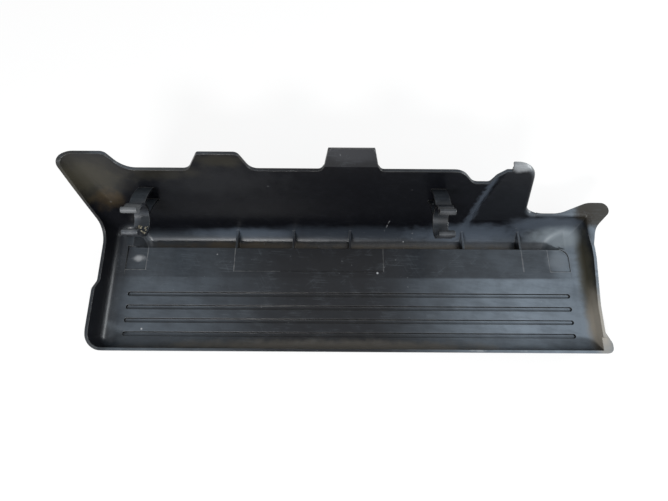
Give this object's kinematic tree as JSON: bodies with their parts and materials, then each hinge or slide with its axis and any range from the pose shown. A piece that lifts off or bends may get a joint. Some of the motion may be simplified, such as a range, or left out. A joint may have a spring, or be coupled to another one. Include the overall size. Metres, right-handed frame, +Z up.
{
  "type": "injector line cover",
  "caption": "Long moulded engine cover shell with a scalloped back wall, a flared corner, floor grooves and open ring clips that snap onto a fuel rail.",
  "frame": {"origin": "middle of the overall box's bottom face, on the surface the cover lies on", "axes": "+X along the cover to its flared end, +Y towards the tall back wall, +Z up out of the hollow"},
  "size_m": [0.4454, 0.1302, 0.1133],
  "materials": {
    "black_plastic": "satin black moulding, dusty and scuffed inside"
  },
  "bodies": {
    "root": {"injector_line_cover": "black_plastic"}
  },
  "joints": []
}
